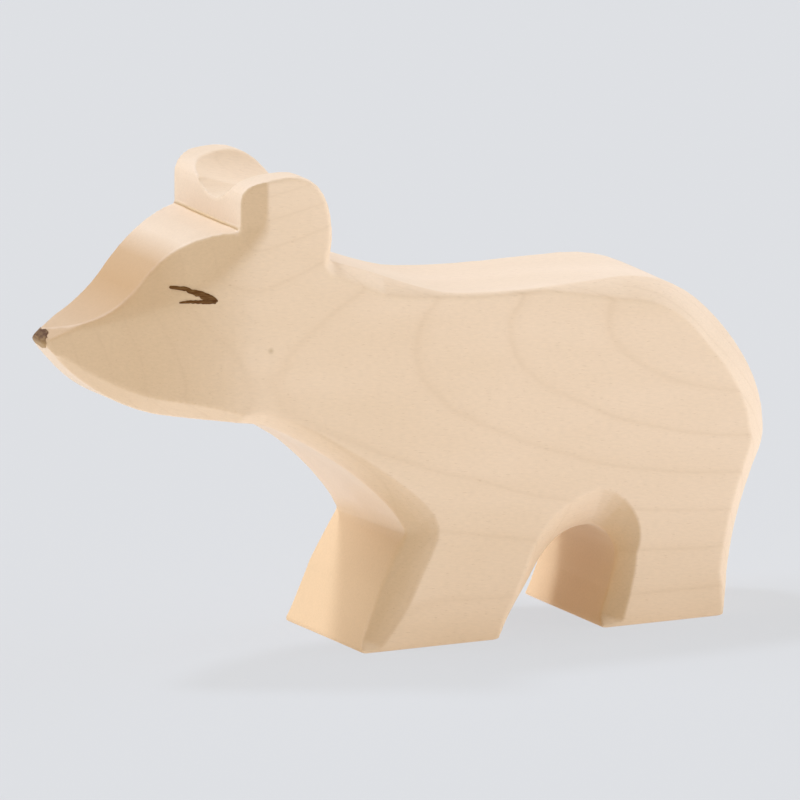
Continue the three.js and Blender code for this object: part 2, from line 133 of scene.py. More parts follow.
class Bench:
    """A material's node tree, with short ways to add and join its nodes."""

    def __init__(self, name: str) -> None:
        """Make an empty material.

        Args:
            name: The material's name.
        """
        self.material: Material = bpy.data.materials.new(name)
        self.material.use_nodes = True
        self.tree: NodeTree = self.material.node_tree
        self.tree.nodes.clear()

    def add(self, kind: str, **settings: object) -> Node:
        """Add a node and set its properties.

        Args:
            kind: The node's type name.
            settings: Properties to set on the node.

        Returns:
            The node.
        """
        node = self.tree.nodes.new(kind)
        for name, value in settings.items():
            setattr(node, name, value)
        return node

    def feed(self, socket: NodeSocket, value: object) -> None:
        """Link a socket to another, or set its value.

        Args:
            socket: The input to feed.
            value: An output socket, a number, a vector or a colour.
        """
        if isinstance(value, NodeSocket):
            self.tree.links.new(value, socket)
        else:
            socket.default_value = value

    def math(self, operation: str, *values: object) -> NodeSocket:
        """Add a Math node.

        Args:
            operation: The node's operation.
            values: Its inputs in order, sockets or numbers.

        Returns:
            The result's socket.
        """
        node = self.add("ShaderNodeMath", operation=operation)
        for socket, value in zip(node.inputs, values):
            self.feed(socket, value)
        return node.outputs[0]

    def vector(self, operation: str, *values: object) -> Node:
        """Add a Vector Math node.

        Args:
            operation: The node's operation.
            values: Its inputs in order, sockets or vectors.

        Returns:
            The node.
        """
        node = self.add("ShaderNodeVectorMath", operation=operation)
        for socket, value in zip(node.inputs, values):
            self.feed(socket, value)
        return node

    def place(self) -> NodeSocket:
        """Find the piece's own coordinates.

        Returns:
            The coordinates, in millimetres.
        """
        scaled = self.vector("SCALE", self.add("ShaderNodeTexCoord").outputs["Object"])
        scaled.inputs["Scale"].default_value = 1 / MM
        return scaled.outputs[0]

    def parts(self, place: NodeSocket) -> tuple[NodeSocket, ...]:
        """Split coordinates.

        Args:
            place: The coordinates.

        Returns:
            Their X, Y and Z.
        """
        node = self.add("ShaderNodeSeparateXYZ")
        self.feed(node.inputs[0], place)
        return tuple(node.outputs)

    def noise(self, place: NodeSocket, pattern: Pattern) -> NodeSocket:
        """Add a noise whose coordinates are stretched.

        Args:
            place: The coordinates, in millimetres.
            pattern: The noise's repeats and detail.

        Returns:
            The noise's value, from 0 to 1.
        """
        scaled = self.vector("MULTIPLY", place, pattern.repeats)
        node = self.add("ShaderNodeTexNoise")
        node.inputs["Scale"].default_value = 1.0
        node.inputs["Detail"].default_value = pattern.detail
        self.feed(node.inputs["Vector"], scaled.outputs[0])
        return node.outputs[0]

    def ramp(self, value: NodeSocket, stops: Stops) -> NodeSocket:
        """Add a ramp of grey levels.

        Args:
            value: What runs along the ramp.
            stops: Places and levels, from 0 to 1.

        Returns:
            The level's socket.
        """
        node = self.add("ShaderNodeValToRGB")
        band = node.color_ramp
        for spare in list(band.elements)[1:]:
            band.elements.remove(spare)
        band.elements[0].position = stops[0][0]
        for place, _ in stops[1:]:
            band.elements.new(place)
        for element, (place, level) in zip(band.elements, stops):
            element.position = place
            element.color = (level, level, level, 1.0)
        self.feed(node.inputs[0], value)
        return node.outputs[0]

    def blend(self, share: object, first: object, second: object, mode: str = "MIX") -> NodeSocket:
        """Blend two colours.

        Args:
            share: How much of the second shows.
            first: The colour below.
            second: The colour above.
            mode: The blend mode.

        Returns:
            The blended colour's socket.
        """
        node = self.add("ShaderNodeMix", data_type="RGBA", blend_type=mode)
        colours = [socket for socket in node.inputs if socket.type == "RGBA"]
        self.feed(node.inputs[0], share)
        self.feed(colours[0], first)
        self.feed(colours[1], second)
        return next(socket for socket in node.outputs if socket.type == "RGBA")

    def finish(self, shader: NodeSocket) -> Material:
        """Join a shader to the material's output.

        Args:
            shader: The shader's socket.

        Returns:
            The finished material.
        """
        output = self.add("ShaderNodeOutputMaterial")
        self.tree.links.new(shader, output.inputs["Surface"])
        return self.material


@dataclass(frozen=True)
class MapleFinish:
    """Bare sanded maple from a flat-sawn board: arched growth rings, fine fibre and small pores.

    The rings lie round a pith behind the board. The trunk tapers, leans and bends a little, so the
    count of rings changes along it as well. Rings show only on the board's faces. Faces that face the
    head are darker: those that slant sideways and the snout's slope, partly from end grain and partly
    as painted shade, and the upright fronts low on the legs and in the arch, as a warm painted shade
    with some end-grain tone. A painted shade with a brown saw burn lies in the crease along the saw
    cut in front of the ears. Places and lengths are in millimetres.
    """

    pale: Colour = (240, 215, 191)
    deep: Colour = (228, 201, 172)
    tone_start: float = -40.0
    tone_length: float = 90.0
    tone_ramp: Stops = ((0.0, 0.6), (1.0, 0.0))
    mottle: Pattern = Pattern((0.03, 0.11, 0.11), 2.0)
    mottle_ramp: Stops = ((0.3, 0.0), (0.7, 1.0))
    mottle_share: float = 0.4
    fibre: Pattern = Pattern((0.9, 3.4, 3.4), 4.0)
    fibre_ramp: Stops = ((0.25, 0.93), (0.75, 1.0))
    fibre_relief: float = 0.25
    fibre_depth: float = 0.05
    pore: Colour = (186, 150, 114)
    pores: Pattern = Pattern((0.9, 7.0, 7.0), 1.0)
    pore_ramp: Stops = ((0.66, 0.0), (0.76, 0.32))
    fleck: Colour = (188, 158, 122)
    fleck_place: Triple = (-24.2, -12.5, 45.8)
    fleck_size: float = 0.6
    fleck_ramp: Stops = ((0.2, 0.6), (1.0, 0.0))
    ring_line: Colour = (206, 174, 140)
    ring_strength: float = 0.22
    ring_ramp: Stops = (
        (0.0, 1.0), (0.03, 0.4), (0.07, 0.1), (0.16, 0.0),
        (0.8, 0.0), (0.93, 0.25), (0.97, 0.8), (1.0, 1.0))
    ring_face: Stops = ((0.3, 0.0), (0.8, 1.0))
    ring_fading: Pattern = Pattern((0.02, 0.06, 0.06), 2.0)
    fading_ramp: Stops = ((0.3, 0.55), (0.7, 1.0))
    ring_drift: Pattern = Pattern((0.05, 0.13, 0.13), 3.0)
    ring_wander: float = 0.22
    pith_tilt: float = math.radians(-7.25)
    pith_height: float = 45.9
    pith_depth: float = 37.5
    first_ring: float = 46.8
    ring_spacing: float = 2.07
    taper: float = -0.138
    lean: float = -0.0042
    sweep: float = 2.13e-5
    bend: float = 1.76e-5
    crook: float = 1.06e-4
    upright_ramp: Stops = ((0.02, 0.0), (0.3, 1.0))
    # Painted shade, with some end-grain tone, on faces that turn from the head towards a side and away from
    # the lamps.
    side_grain_and_shade: Colour = (218, 187, 151)
    side_ramp: Stops = ((0.1, 0.0), (0.36, 1.0))
    # Painted shade, warm and dark, on faces that face the head low on the legs and in the arch, with some
    # end-grain tone.
    end_grain_and_leg_shade: Colour = (222, 188, 147)
    front_facing_ramp: Stops = ((0.55, 0.0), (0.8, 1.0))
    leg_shade_height: float = 20.0
    leg_shade_fading: Stops = ((0.75, 1.0), (0.95, 0.0))
    # Painted shade, with some end-grain tone, on the snout's slope below the brow.
    slope_grain_and_shade: Colour = (194, 154, 109)
    slope_ramp: Stops = ((0.57, 0.0), (0.68, 0.35), (0.8, 1.0))
    slope_end: float = -35.5
    slope_length: float = 20.0
    slope_fading: Stops = ((0.0, 0.0), (0.2, 0.9), (0.36, 1.0), (0.58, 0.8), (0.8, 0.6))
    # Painted shade in the crease along the saw cut in front of the ears, with a brown saw burn.
    saw_burn_and_shade: Colour = (220, 190, 146)
    saw_place: Triple = (-28.1, 0.0, 63.35)
    saw_width: float = 0.55
    saw_ramp: Stops = ((0.45, 0.85), (1.0, 0.0))
    saw_reach: float = 12.0
    saw_fading: Stops = ((0.8, 1.0), (0.87, 0.0))
    roughness: float = 0.5
    specular: float = 0.5

    def material(self) -> Material:
        """Build the wood.

        Returns:
            The material, on the piece's own coordinates.
        """
        bench = Bench("sanded_maple")
        place = bench.place()
        grain = self._along_pith(bench, place)
        fibre = bench.noise(grain, self.fibre)
        colour = bench.blend(self._tone(bench, place, grain), linear(*self.pale), linear(*self.deep))
        # Darker tones, partly end grain and partly painted shade, laid over the base tone.
        for share, dark_tone in self._cuts_and_shade(bench, place):
            colour = bench.blend(share, colour, linear(*dark_tone))
        colour = bench.blend(self._rings(bench, grain), colour, linear(*self.ring_line))
        colour = bench.blend(1.0, colour, bench.ramp(fibre, self.fibre_ramp), "MULTIPLY")
        pores = bench.ramp(bench.noise(grain, self.pores), self.pore_ramp)
        colour = bench.blend(pores, colour, linear(*self.pore))
        apart = bench.vector("DISTANCE", place, self.fleck_place).outputs["Value"]
        spot = bench.ramp(bench.math("DIVIDE", apart, self.fleck_size), self.fleck_ramp)
        colour = bench.blend(spot, colour, linear(*self.fleck))
        bump = bench.add("ShaderNodeBump")
        bump.inputs["Strength"].default_value = self.fibre_relief
        bump.inputs["Distance"].default_value = self.fibre_depth * MM
        bench.feed(bump.inputs["Height"], fibre)
        shader = bench.add("ShaderNodeBsdfPrincipled")
        shader.inputs["Specular IOR Level"].default_value = self.specular
        shader.inputs["Roughness"].default_value = self.roughness
        bench.feed(shader.inputs["Base Color"], colour)
        bench.feed(shader.inputs["Normal"], bump.outputs[0])
        return bench.finish(shader.outputs[0])

    def _along_pith(self, bench: Bench, place: NodeSocket) -> NodeSocket:
        """Turn the piece's coordinates to the trunk's.

        Args:
            bench: The material's bench.
            place: The piece's own coordinates, in millimetres.

        Returns:
            Coordinates along and round the pith, in millimetres.
        """
        log = bench.add("ShaderNodeMapping")
        log.inputs["Rotation"].default_value = (0, self.pith_tilt, 0)
        log.inputs["Location"].default_value = (
            0, -self.pith_depth, -math.cos(self.pith_tilt) * self.pith_height)
        bench.feed(log.inputs["Vector"], place)
        return log.outputs[0]

    def _tone(self, bench: Bench, place: NodeSocket, grain: NodeSocket) -> NodeSocket:
        """Let the tone drift along the board, with a soft mottle.

        Args:
            bench: The material's bench.
            place: The piece's own coordinates, in millimetres.
            grain: Coordinates along and round the pith, in millimetres.

        Returns:
            How far the deep tone shows.
        """
        behind = bench.math("SUBTRACT", bench.parts(place)[0], self.tone_start)
        drift = bench.ramp(bench.math("DIVIDE", behind, self.tone_length), self.tone_ramp)
        mottle = bench.ramp(bench.noise(grain, self.mottle), self.mottle_ramp)
        return bench.math("MULTIPLY_ADD", mottle, self.mottle_share, drift)

    def _rings(self, bench: Bench, grain: NodeSocket) -> NodeSocket:
        """Make the growth-ring lines.

        Args:
            bench: The material's bench.
            grain: Coordinates along and round the pith, in millimetres.

        Returns:
            How strongly the ring colour shows.
        """
        across = bench.vector("MULTIPLY", grain, (0.0, 1.0, 1.0))
        radius = bench.vector("LENGTH", across.outputs[0]).outputs["Value"]
        along, _, up = bench.parts(grain)
        slope = bench.math("MULTIPLY_ADD", up, self.lean, self.taper)
        slope = bench.math("MULTIPLY_ADD", bench.math("MULTIPLY", along, up), self.sweep, slope)
        slope = bench.math("MULTIPLY_ADD", bench.math("MULTIPLY", along, along), self.bend, slope)
        reach = bench.math("MULTIPLY_ADD", along, slope, radius)
        cube = bench.math("MULTIPLY", bench.math("MULTIPLY", up, up), up)
        reach = bench.math("MULTIPLY_ADD", cube, self.crook, reach)
        count = bench.math(
            "MULTIPLY_ADD", reach, 1 / self.ring_spacing, -self.first_ring / self.ring_spacing)
        drift = bench.math("SUBTRACT", bench.noise(grain, self.ring_drift), 0.5)
        count = bench.math("MULTIPLY_ADD", drift, self.ring_wander, count)
        line = bench.ramp(bench.math("FRACT", count), self.ring_ramp)
        fading = bench.ramp(bench.noise(grain, self.ring_fading), self.fading_ramp)
        across_board = bench.math("ABSOLUTE", self._facing(bench, (0.0, 1.0, 0.0)))
        shown = bench.math("MULTIPLY", fading, bench.ramp(across_board, self.ring_face))
        return bench.math("MULTIPLY", bench.math("MULTIPLY", line, shown), self.ring_strength)

    def _cuts_and_shade(self, bench: Bench, place: NodeSocket) -> list[tuple[NodeSocket, Colour]]:
        """Find the faces that face the head and the saw cut, where darker tones stand partly for end grain
        and partly for painted shade.

        Args:
            bench: The material's bench.
            place: The piece's own coordinates, in millimetres.

        Returns:
            How far each darker tone shows, with its colour.
        """
        forward = bench.math("MAXIMUM", self._facing(bench, (-1.0, 0.0, 0.0)), 0.0)
        beside = bench.math("ABSOLUTE", self._facing(bench, (0.0, 1.0, 0.0)))
        above = bench.math("MULTIPLY_ADD", self._facing(bench, (0.0, 0.0, 1.0)), 0.5, 0.5)
        along, across, up = bench.parts(place)
        upright = bench.ramp(above, self.upright_ramp)
        sideways = bench.ramp(bench.math("MULTIPLY", forward, beside), self.side_ramp)
        low = bench.ramp(bench.math("DIVIDE", up, self.leg_shade_height), self.leg_shade_fading)
        end = bench.math("MULTIPLY", bench.ramp(forward, self.front_facing_ramp), low)
        ahead = bench.math("SUBTRACT", self.slope_end, along)
        snout = bench.ramp(bench.math("DIVIDE", ahead, self.slope_length), self.slope_fading)
        slope = bench.ramp(above, self.slope_ramp)
        offset = bench.vector("SUBTRACT", place, self.saw_place).outputs[0]
        offset = bench.vector("MULTIPLY", offset, (1.0, 0.0, 1.0)).outputs[0]
        apart = bench.vector("LENGTH", offset).outputs["Value"]
        saw = bench.ramp(bench.math("DIVIDE", apart, self.saw_width), self.saw_ramp)
        beyond = bench.math("DIVIDE", bench.math("ABSOLUTE", across), self.saw_reach)
        inside = bench.ramp(beyond, self.saw_fading)
        # Painted shade, with some end-grain tone, on faces turned from the lamps; downward faces, lit from
        # the floor, are left out.
        return [
            (bench.math("MULTIPLY", sideways, upright), self.side_grain_and_shade),
            (bench.math("MULTIPLY", end, upright), self.end_grain_and_leg_shade),
            (bench.math("MULTIPLY", slope, snout), self.slope_grain_and_shade),
            (bench.math("MULTIPLY", saw, inside), self.saw_burn_and_shade),
        ]

    @staticmethod
    def _facing(bench: Bench, direction: Triple) -> NodeSocket:
        """Find how squarely the surface faces a direction.

        Args:
            bench: The material's bench.
            direction: The direction, of length 1.

        Returns:
            The cosine of the angle between them.
        """
        normal = bench.add("ShaderNodeNewGeometry").outputs["Normal"]
        return bench.vector("DOT_PRODUCT", normal, direction).outputs["Value"]


@dataclass(frozen=True)
class PaintFinish:
    """Thin matte paint, brushed on so that its depth varies, and paler below a height in millimetres."""

    name: str
    thick: Colour
    thin: Colour
    brush: Pattern
    brush_ramp: Stops = ((0.4, 0.0), (0.68, 0.6))
    paler_below_height: tuple[float, float] = (0.0, 1.0)
    roughness: float = 0.55
    specular: float = 0.15

    def material(self) -> Material:
        """Build the paint.

        Returns:
            The material, on the piece's own coordinates.
        """
        bench = Bench(self.name)
        place = bench.place()
        streaks = bench.ramp(bench.noise(place, self.brush), self.brush_ramp)
        low, high = self.paler_below_height
        below = bench.math("SUBTRACT", high, bench.parts(place)[2])
        lower_share = bench.ramp(bench.math("DIVIDE", below, high - low), ((0.0, 0.0), (1.0, 1.0)))
        thinness = bench.math("MAXIMUM", streaks, lower_share)
        shader = bench.add("ShaderNodeBsdfPrincipled")
        shader.inputs["Roughness"].default_value = self.roughness
        shader.inputs["Specular IOR Level"].default_value = self.specular
        colour = bench.blend(thinness, linear(*self.thick), linear(*self.thin))
        bench.feed(shader.inputs["Base Color"], colour)
        return bench.finish(shader.outputs[0])


EYE_PAINT = PaintFinish("eye_paint", (92, 54, 16), (138, 104, 62), Pattern((1.0, 1.0, 6.0), 3.0))
NOSE_PAINT = PaintFinish(
    "nose_paint", (98, 68, 48), (170, 138, 98), Pattern((1.6, 1.6, 1.6), 3.0), paler_below_height=(47.6, 48.8))


def select_only(piece: Object) -> None:
    """Deselect everything, then select one object and make it active.

    Args:
        piece: The object.
    """
    bpy.ops.object.select_all(action="DESELECT")
    piece.select_set(True)
    bpy.context.view_layer.objects.active = piece


def apply_modifier(piece: Object, kind: str, **settings: object) -> None:
    """Add a modifier to an object, set it and apply it.

    Args:
        piece: The object.
        kind: The modifier's type.
        settings: Properties to set on the modifier.
    """
    select_only(piece)
    modifier = piece.modifiers.new(kind.lower(), kind)
    for name, value in settings.items():
        setattr(modifier, name, value)
    bpy.ops.object.modifier_apply(modifier=modifier.name)


def declare(piece: Object, node: str, material: Material) -> None:
    """Give a piece its finish, hang it on the bear's body and hide the solid that it stands for.

    Args:
        piece: The finished piece.
        node: The solid that it replaces.
        material: The finish.
    """
    piece.data.materials.clear()
    piece.data.materials.append(material)
    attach(piece, BODY)
    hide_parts(node)


class KerfWork(Enum):
    """What is done to a saw cut, with the boolean operation that does it."""

    FILL = "UNION"
    CUT = "DIFFERENCE"


@dataclass(frozen=True)
class Kerf:
    """A straight saw cut across the foot of the ears: its size and its middle, in millimetres."""

    size: Triple
    middle: Triple


@dataclass(frozen=True)
class Line:
    """A straight line on the bear's side: where it starts, its height there and its rise, in millimetres."""

    start: float
    height: float
    rise: float

    def at(self, along: float) -> float:
        """Find the line's height.

        Args:
            along: The place along the bear.

        Returns:
            The height there.
        """
        return self.height + self.rise * (along - self.start)


@dataclass
class Carving:
    """The wooden bear, with the soft edges and the slight unevenness of hand finishing.

    It starts from a copy of the sawn solid, because its facets already follow the board, and no
    primitive comes as close. Its wide saw cut is filled and the groove between the ears scooped
    wider. Remeshing and smoothing then wear its edges, most on snout, cheeks and shin, the crease
    under the chest is raised, and a narrow saw cut is made last, so that it stays crisp.
    """

    node: str = "bear_body"
    merge_distance: float = 0.001 * MM
    grain_size: float = 0.3 * MM
    smoothing: float = 0.5
    wear_passes: int = 1
    snout_passes: int = 8
    snout_edge: Line = Line(-55.0, 49.2, 0.32)
    snout_depth: float = 2.0
    snout_rear: Fade = (-30.0, -38.0)
    snout_tip: Fade = (-54.0, -51.0)
    cheek_passes: int = 110
    cheek_line: Line = Line(-26.0, 61.0, 0.5625)
    cheek_spread: Fade = (4.5, 1.5)
    cheek_side: Fade = (5.5, 7.0)
    cheek_rear: Fade = (-23.0, -27.0)
    cheek_tip: Fade = (-49.0, -45.0)
    shin_passes: int = 50
    shin_foot: Fade = (0.5, 9.0)
    shin_top: Fade = (15.3, 13.5)
    shin_front: Fade = (4.0, 1.0)
    shin_near: Fade = (-11.9, -10.9)
    shin_far: Fade = (-5.5, -8.0)
    crease_rise: float = 1.4 * MM
    crease_foot: Fade = (3.0, 14.0)
    crease_top: Fade = (30.0, 17.0)
    crease_front: Fade = (10.0, 3.0)
    crease_share: float = 0.7
    crease_lean: float = 0.3
    crease_half_width: float = 12.3
    scoop_radius: float = 9.5 * MM
    scoop_length: float = 28.5 * MM
    scoop_sides: int = 96
    scoop_place: Vector = field(default_factory=lambda: Vector((-21.1, 0.9, 76.6)) * MM)
    scoop_tilt: float = math.radians(12)
    unevenness: float = 0.1 * MM
    unevenness_length: float = 11 * MM
    sole_height: float = 0.4 * MM
    kept_share: float = 0.4
    sawn_kerf: Kerf = Kerf((1.2, 21.4, 1.4), (-28.7, 0.0, 62.57))
    worn_kerf: Kerf = Kerf((0.22, 20.4, 0.7), (-28.31, 0.0, 63.55))
    crisp_angle: float = math.radians(40)

    def build(self) -> Object:
        """Carve the bear.

        Returns:
            The carving.
        """
        piece = bpy.data.objects.new("carved_bear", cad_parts[self.node].data.copy())
        bpy.context.scene.collection.objects.link(piece)
        select_only(piece)
        bpy.ops.object.mode_set(mode="EDIT")
        bpy.ops.mesh.select_all(action="SELECT")
        bpy.ops.mesh.remove_doubles(threshold=self.merge_distance)
        bpy.ops.object.mode_set(mode="OBJECT")
        self._fit_block(piece, self.sawn_kerf, KerfWork.FILL)
        self._scoop(piece)
        apply_modifier(piece, "REMESH", mode="VOXEL", voxel_size=self.grain_size)
        apply_modifier(piece, "SMOOTH", factor=self.smoothing, iterations=self.wear_passes)
        for share, passes in (
                (self._on_snout, self.snout_passes),
                (self._on_cheek, self.cheek_passes),
                (self._on_shin, self.shin_passes)):
            self._where(piece, share, "SMOOTH", factor=self.smoothing, iterations=passes)
        self._where(
            piece, self._at_crease, "DISPLACE", direction="Z", mid_level=0.0, strength=self.crease_rise)
        waves = bpy.data.textures.new("hand_finish", "CLOUDS")
        waves.noise_scale = self.unevenness_length
        apply_modifier(piece, "DISPLACE", texture=waves, strength=self.unevenness, texture_coords="LOCAL")
        bpy.data.textures.remove(waves)
        self._flatten_soles(piece)
        apply_modifier(piece, "DECIMATE", ratio=self.kept_share)
        self._fit_block(piece, self.worn_kerf, KerfWork.CUT)
        apply_modifier(piece, "TRIANGULATE", quad_method="BEAUTY", ngon_method="BEAUTY")
        select_only(piece)
        bpy.ops.object.shade_smooth_by_angle(angle=self.crisp_angle)
        declare(piece, self.node, MapleFinish().material())
        return piece

    def _flatten_soles(self, piece: Object) -> None:
        """Keep the soles on the surface that the bear stands on.

        Args:
            piece: The carving.
        """
        for vertex in piece.data.vertices:
            if vertex.co.z < self.sole_height:
                vertex.co.z *= smooth_step(0.0, self.sole_height, vertex.co.z)

    def _on_snout(self, place: Vector) -> float:
        """Find the edges along the top of the snout.

        Args:
            place: A place on the wood, in millimetres.

        Returns:
            1 on them and 0 away from them.
        """
        edge = self.snout_edge.at(place.x)
        along = smooth_step(*self.snout_rear, place.x) * smooth_step(*self.snout_tip, place.x)
        return along * smooth_step(edge - self.snout_depth, edge, place.z)

    def _on_cheek(self, place: Vector) -> float:
        """Find the line on each cheek where the brow runs out into the jowl.

        Args:
            place: A place on the wood, in millimetres.

        Returns:
            1 on it and 0 away from it.
        """
        apart = abs(place.z - self.cheek_line.at(place.x))
        along = smooth_step(*self.cheek_rear, place.x) * smooth_step(*self.cheek_tip, place.x)
        return along * smooth_step(*self.cheek_spread, apart) * smooth_step(*self.cheek_side, abs(place.y))

    def _on_shin(self, place: Vector) -> float:
        """Find the edge between the front of the near front leg and its slanting side.

        Args:
            place: A place on the wood, in millimetres.

        Returns:
            1 on it and 0 away from it.
        """
        up = smooth_step(*self.shin_foot, place.z) * smooth_step(*self.shin_top, place.z)
        front = up * smooth_step(*self.shin_front, place.x)
        return front * smooth_step(*self.shin_near, place.y) * smooth_step(*self.shin_far, place.y)

    def _at_crease(self, place: Vector) -> float:
        """Find the crease between chest and leg, which rises towards the near side.

        Args:
            place: A place on the wood, in millimetres.

        Returns:
            1 at its near end and 0 away from it.
        """
        up = smooth_step(*self.crease_foot, place.z) * smooth_step(*self.crease_top, place.z)
        nearness = self.crease_share - self.crease_lean * place.y / self.crease_half_width
        return up * smooth_step(*self.crease_front, place.x) * nearness

    @staticmethod
    def _where(piece: Object, share: Callable[[Vector], float], kind: str, **settings: object) -> None:
        """Apply a modifier to a part of the carving only.

        Args:
            piece: The carving.
            share: Gives how much of the change a place gets.
            kind: The modifier's type.
            settings: Properties to set on the modifier.
        """
        group = piece.vertex_groups.new(name="part")
        for vertex in piece.data.vertices:
            amount = share(vertex.co / MM)
            if amount > 0:
                group.add([vertex.index], amount, "REPLACE")
        apply_modifier(piece, kind, vertex_group=group.name, **settings)
        piece.vertex_groups.clear()

    def _scoop(self, piece: Object) -> None:
        """Widen the groove between the ears towards their crown.

        Args:
            piece: The carving.
        """
        bpy.ops.object.select_all(action="DESELECT")
        bpy.ops.mesh.primitive_cylinder_add(
            vertices=self.scoop_sides, radius=self.scoop_radius, depth=self.scoop_length,
            location=self.scoop_place, rotation=(0.0, math.pi / 2 + self.scoop_tilt, 0.0))
        gouge = bpy.context.object
        bpy.ops.object.transform_apply(location=True, rotation=True, scale=True)
        apply_modifier(piece, "BOOLEAN", object=gouge, operation="DIFFERENCE", solver="EXACT")
        bpy.data.objects.remove(gouge)

    @staticmethod
    def _fit_block(piece: Object, kerf: Kerf, work: KerfWork) -> None:
        """Fill a saw cut with a block, or cut it.

        Args:
            piece: The carving.
            kerf: The saw cut.
            work: Whether it is filled or cut.
        """
        bpy.ops.object.select_all(action="DESELECT")
        bpy.ops.mesh.primitive_cube_add(size=1.0, location=Vector(kerf.middle) * MM)
        block = bpy.context.object
        block.scale = Vector(kerf.size) * MM
        bpy.ops.object.transform_apply(location=True, rotation=True, scale=True)
        apply_modifier(piece, "BOOLEAN", object=block, operation=work.value, solver="EXACT")
        bpy.data.objects.remove(block)


@dataclass(frozen=True)
class Stroke:
    """One brush stroke: places along it as shares of the eye's box, with its width at each in millimetres."""

    places: tuple[tuple[float, float], ...]
    widths: tuple[float, ...]
    last_share: float = 0.9999
    look_ahead: float = 0.02

    def at(self, share: float) -> tuple[Vector, Vector, float]:
        """Find a place along the stroke.

        Args:
            share: How far along, from 0 to 1.

        Returns:
            The place, the direction across the stroke, and the width there.
        """
        place, width = self._curve(share)
        ahead, _ = self._curve(share + self.look_ahead)
        behind, _ = self._curve(share - self.look_ahead)
        along = (ahead - behind).normalized()
        return place, Vector((-along.y, along.x)), width

    def _curve(self, share: float) -> tuple[Vector, float]:
        """Run a smooth curve through the stroke's places.

        Args:
            share: How far along; it stops at the ends.

        Returns:
            The place, and the width there.
        """
        span = min(max(share, 0.0), self.last_share) * (len(self.places) - 1)
        first = int(span)
        part = span - first
        around = [self.places[min(max(first + step, 0), len(self.places) - 1)] for step in (-1, 0, 1, 2)]
        before, start, end, after = (Vector(pair) for pair in around)
        place = 0.5 * (2 * start + (end - before) * part
                       + (2 * before - 5 * start + 4 * end - after) * part ** 2
                       + (3 * start - before - 3 * end + after) * part ** 3)
        growth = self.widths[first + 1] - self.widths[first]
        return place, self.widths[first] + growth * smooth_step(0.0, 1.0, part)


@dataclass(frozen=True)
class Film:
    """A film of paint: how far it lies off the wood and how thick it is."""

    lift: float
    thickness: float
    crisp_angle: float = math.radians(50)

    def lay(self, piece: Object, wood: Object, **projection: object) -> None:
        """Press a thin sheet on the wood and give it its thickness.

        Args:
            piece: The sheet.
            wood: The carving that carries the paint.
            projection: The direction in which the sheet is pressed.
        """
        apply_modifier(
            piece, "SHRINKWRAP", target=wood, wrap_method="PROJECT", wrap_mode="OUTSIDE_SURFACE",
            offset=self.lift, **projection)
        apply_modifier(piece, "SOLIDIFY", thickness=self.thickness, offset=1.0, use_even_offset=False)
        select_only(piece)
        bpy.ops.object.shade_smooth_by_angle(angle=self.crisp_angle)


@dataclass
class EyeMark:
    """A closed eye, painted as a drooping lid and a thin lash line that meet at the back."""

    side: Side
    node: str
    lid: Stroke = Stroke(
        ((0.0, 0.96), (0.17, 0.92), (0.32, 0.87), (0.43, 0.74),
         (0.59, 0.63), (0.72, 0.46), (0.83, 0.35), (0.96, 0.18)),
        (0.43, 0.51, 0.66, 0.74, 1.0, 1.2, 1.0, 0.49))
    lash: Stroke = Stroke(
        ((0.15, 0.19), (0.33, 0.23), (0.52, 0.22), (0.72, 0.2), (0.94, 0.18)),
        (0.2, 0.42, 0.5, 0.6, 0.5))
    film: Film = Film(0.03 * MM, 0.05 * MM)
    steps_along: int = 60
    steps_across: int = 8
    rounded_share: float = 0.04
    tip_share: float = 0.35
    raggedness: float = 0.24
    ragged_repeats: float = 14
    start_distance: float = 14 * MM

    def build(self, wood: Object, paint: Material) -> Object:
        """Paint the eye on the cheek.

        Args:
            wood: The carving that carries the paint.
            paint: The paint's finish.

        Returns:
            The painted eye.
        """
        strokes = [self._ribbon(stroke) for stroke in (self.lid, self.lash)]
        bpy.ops.object.select_all(action="DESELECT")
        for stroke in strokes:
            stroke.select_set(True)
        bpy.context.view_layer.objects.active = strokes[0]
        bpy.ops.object.join()
        piece = bpy.context.object
        piece.name = self.node.replace("mark", "paint")
        self.film.lay(
            piece, wood, use_project_y=True,
            use_negative_direction=self.side is Side.RIGHT, use_positive_direction=self.side is Side.LEFT)
        declare(piece, self.node, paint)
        return piece

    def _ribbon(self, stroke: Stroke) -> Object:
        """Lay one stroke out as a ribbon beside the cheek, with rounded ends and a ragged edge.

        Args:
            stroke: The stroke.

        Returns:
            The ribbon.
        """
        low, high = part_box(self.node)
        bpy.ops.object.select_all(action="DESELECT")
        bpy.ops.mesh.primitive_grid_add(
            x_subdivisions=self.steps_along, y_subdivisions=self.steps_across, size=1.0)
        ribbon = bpy.context.object
        for vertex in ribbon.data.vertices:
            share, across = vertex.co.x + 0.5, 2 * vertex.co.y
            place, side, width = stroke.at(share)
            near_start = max(0.0, 1 - share / self.rounded_share)
            near_end = max(0.0, 1 - (1 - share) / self.rounded_share)
            fullness = math.sqrt(max(0.0, 1 - near_start ** 2 - near_end ** 2))
            spot = Vector((share * self.ragged_repeats, 2 * across, self.side.value))
            rough = 1 + self.raggedness * noise.noise(spot)
            reach = 0.5 * width * MM * across * (self.tip_share + (1 - self.tip_share) * fullness) * rough
            x = low.x + place.x * (high.x - low.x) + side.x * reach
            z = low.z + place.y * (high.z - low.z) + side.y * reach
            vertex.co = Vector((x, self.side.value * self.start_distance, z))
        bpy.ops.object.mode_set(mode="EDIT")
        bpy.ops.mesh.select_all(action="SELECT")
        if (ribbon.data.polygons[0].normal.y > 0) != (self.side is Side.RIGHT):
            bpy.ops.mesh.flip_normals()
        bpy.ops.object.mode_set(mode="OBJECT")
        return ribbon


